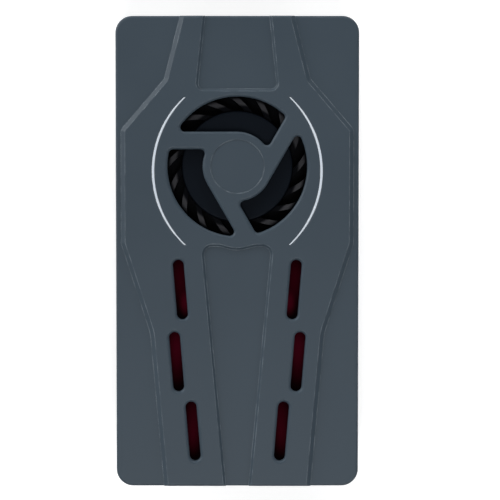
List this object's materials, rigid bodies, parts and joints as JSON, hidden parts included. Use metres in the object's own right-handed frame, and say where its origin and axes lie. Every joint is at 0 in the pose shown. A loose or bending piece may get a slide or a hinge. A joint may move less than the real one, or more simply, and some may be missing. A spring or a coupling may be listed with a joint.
{
  "type": "phone cooling fan",
  "caption": "Slab-shaped clip-on phone cooler: raised front with a swirled round fan opening, slanted slots, side strips and a sprung side clamp.",
  "frame": {"origin": "centre of the bounding box on the surface that the clamp jaws stand on", "axes": "+Z out of the front cover, +Y along the body towards the end with the fan, +X to the right seen from the front"},
  "size_m": [0.078, 0.1512, 0.0264],
  "materials": {
    "cover_grey": "fine matte texture",
    "rear_grey": "fine matte texture",
    "strip_white": "translucent white strip",
    "fan_black": "moulded satin",
    "frame_black": "moulded matte",
    "arm_grey": "moulded matte",
    "acetal": "natural acetal",
    "steel": "drawn or stamped steel",
    "black_steel": "blackened screws",
    "ferrite": "sintered magnet",
    "copper": "enamelled copper wire",
    "bronze": "sintered bronze",
    "aluminium": "milled and bead blasted",
    "pad_grey": "soft silicone",
    "rubber_black": "soft silicone",
    "board_green": "solder mask",
    "board_black": "solder mask",
    "chip_black": "moulded packages",
    "socket_cream": "moulded nylon",
    "light_red": "red light guide",
    "led_white": "light emitting diodes",
    "cell_foil": "laminated foil",
    "tape_black": "double-sided foam tape",
    "wire_red_black": "insulated wire",
    "button_grey": "moulded matte"
  },
  "bodies": {
    "housing": {"front_shell": "cover_grey", "rear_shell": "rear_grey", "crescent_left": "strip_white", "crescent_right": "strip_white", "light_bar_left": "light_red", "light_bar_right": "light_red", "light_board_left": "board_black", "light_board_right": "board_black", "light_leds_left": "led_white", "light_leds_right": "led_white", "light_wires_left": "wire_red_black", "light_wires_right": "wire_red_black", "case_screws": "black_steel", "rear_pads": "rubber_black", "cooling_plate": "aluminium", "plate_screws": "black_steel", "thermal_pad": "pad_grey", "fan_frame": "frame_black", "fan_screws": "black_steel", "bearing_sleeve": "bronze", "thrust_washer": "acetal", "motor_board": "board_green", "stator_core": "steel", "stator_coils": "copper", "return_spring_left": "steel", "return_spring_right": "steel", "pinion_pin": "steel", "clamp_cover": "frame_black", "cover_screws": "black_steel", "battery_cell": "cell_foil", "battery_tape": "tape_black", "battery_wires": "wire_red_black", "main_board": "board_green", "board_screws": "black_steel", "board_chips": "chip_black", "wire_sockets": "socket_cream", "usb_socket": "steel", "usb_tongue": "chip_black", "switch_body": "chip_black", "fan_wires": "wire_red_black"},
    "fan_rotor": {"impeller": "fan_black", "rotor_yoke": "steel", "rotor_magnet": "ferrite", "rotor_shaft": "steel", "shaft_clip": "acetal"},
    "left_arm": {"clamp_arm_left": "arm_grey", "jaw_pad_left": "rubber_black"},
    "right_arm": {"clamp_arm_right": "arm_grey", "jaw_pad_right": "rubber_black"},
    "pinion": {"sync_pinion": "acetal"},
    "button": {"power_button": "button_grey", "switch_plunger": "socket_cream"}
  },
  "joints": [
    {"name": "fan_spin", "type": "hinge", "parent": "housing", "child": "fan_rotor", "pos_m": [0, 0.02753, 0.02], "axis": [0, 0, 1], "continuous": true},
    {"name": "left_arm_slide", "type": "slide", "parent": "housing", "child": "left_arm", "axis": [-1, 0, 0], "range_m": [0, 0.0075], "stiffness_N_per_m": 300, "springref_m": -0.01, "deforming": ["return_spring_left"]},
    {"name": "right_arm_slide", "type": "slide", "parent": "housing", "child": "right_arm", "axis": [1, 0, 0], "range_m": [0, 0.0075], "stiffness_N_per_m": 300, "springref_m": -0.01, "deforming": ["return_spring_right"]},
    {"name": "pinion_turn", "type": "hinge", "parent": "housing", "child": "pinion", "pos_m": [0, -0.01378, 0.0141], "axis": [0, 0, 1], "range_deg": [0, 71.62]},
    {"name": "power_button_press", "type": "slide", "parent": "housing", "child": "button", "axis": [-1, 0, 0], "range_m": [0, 0.0005], "stiffness_N_per_m": 600, "springref_m": -0.001}
  ],
  "couplings": [
    {"joint": "right_arm_slide", "follows": "left_arm_slide", "ratio": 1},
    {"joint": "pinion_turn", "follows": "left_arm_slide", "rad_per_m": 166.67}
  ]
}
